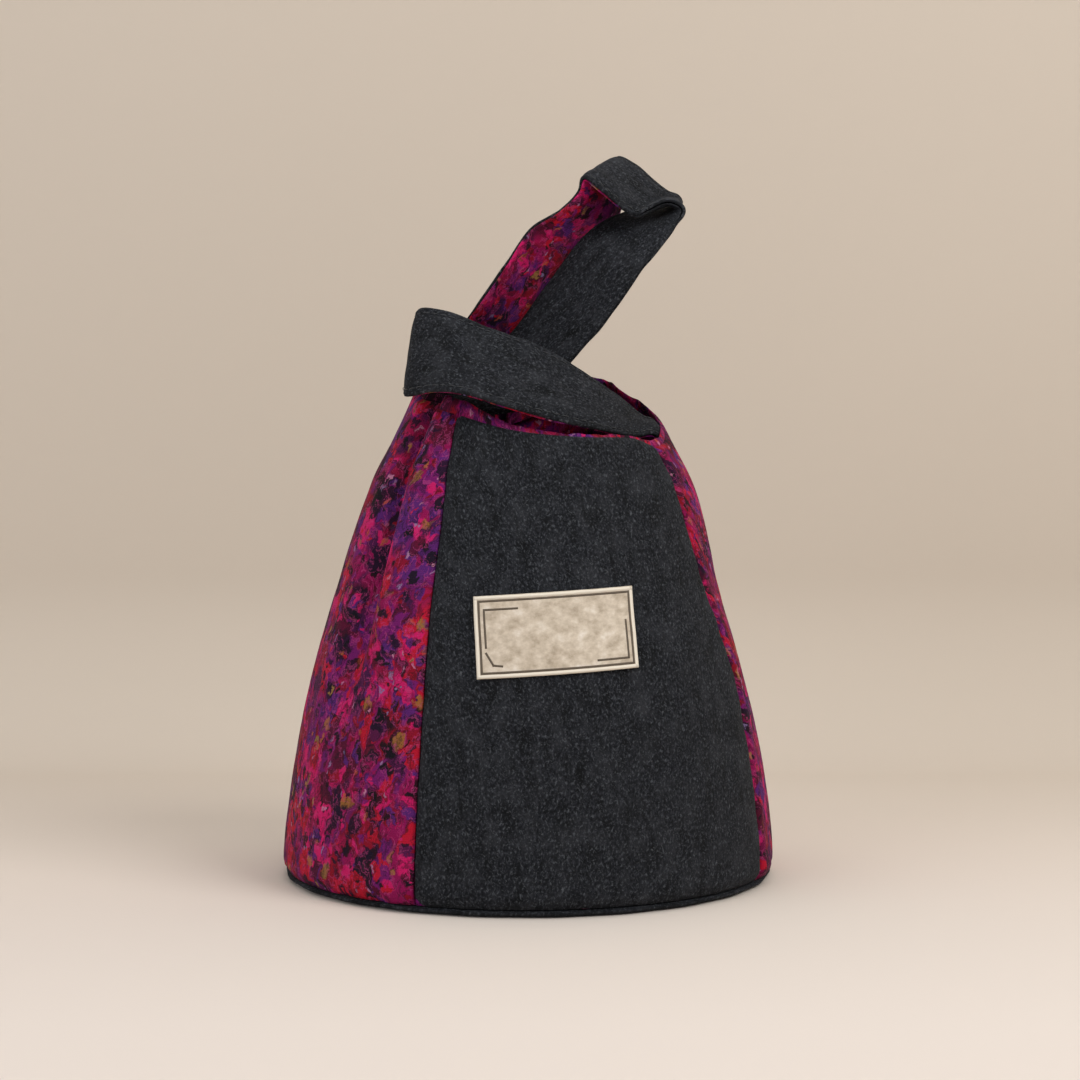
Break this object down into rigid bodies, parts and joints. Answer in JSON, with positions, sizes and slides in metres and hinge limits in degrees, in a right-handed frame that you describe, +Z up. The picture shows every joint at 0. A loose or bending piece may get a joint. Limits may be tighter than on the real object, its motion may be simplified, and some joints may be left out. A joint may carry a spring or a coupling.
{
  "type": "knot bag",
  "caption": "Small knot bag with a round base, flared body of joined cloth panels, loose lining, a long and a short strap handle crossed at the gathered mouth, and a sewn label.",
  "frame": {"origin": "centre of the underside of the base, on the surface the bag stands on", "axes": "+Z up, -Y towards the front panel with the label, +X to the right seen from the front"},
  "size_m": [0.1794, 0.1794, 0.2659],
  "materials": {
    "wool": "brushed wool, charcoal grey with pale flecks",
    "print": "printed cotton, magenta, crimson and violet blotches",
    "lining": "printed cotton, magenta, crimson and violet blotches",
    "label": "coated cotton, cream, printed frame lines"
  },
  "bodies": {
    "root": {"base_panel": "wool", "front_panel": "wool", "back_panel": "wool", "left_side_panel": "print", "right_side_panel": "print", "lining_base": "lining", "lining_front": "lining", "lining_back": "lining", "lining_left": "lining", "lining_right": "lining", "label": "label", "long_handle_outer": "wool", "long_handle_back_facing": "print", "long_handle_front_facing": "wool", "short_handle_outer": "wool", "short_handle_facing": "print"}
  },
  "joints": []
}
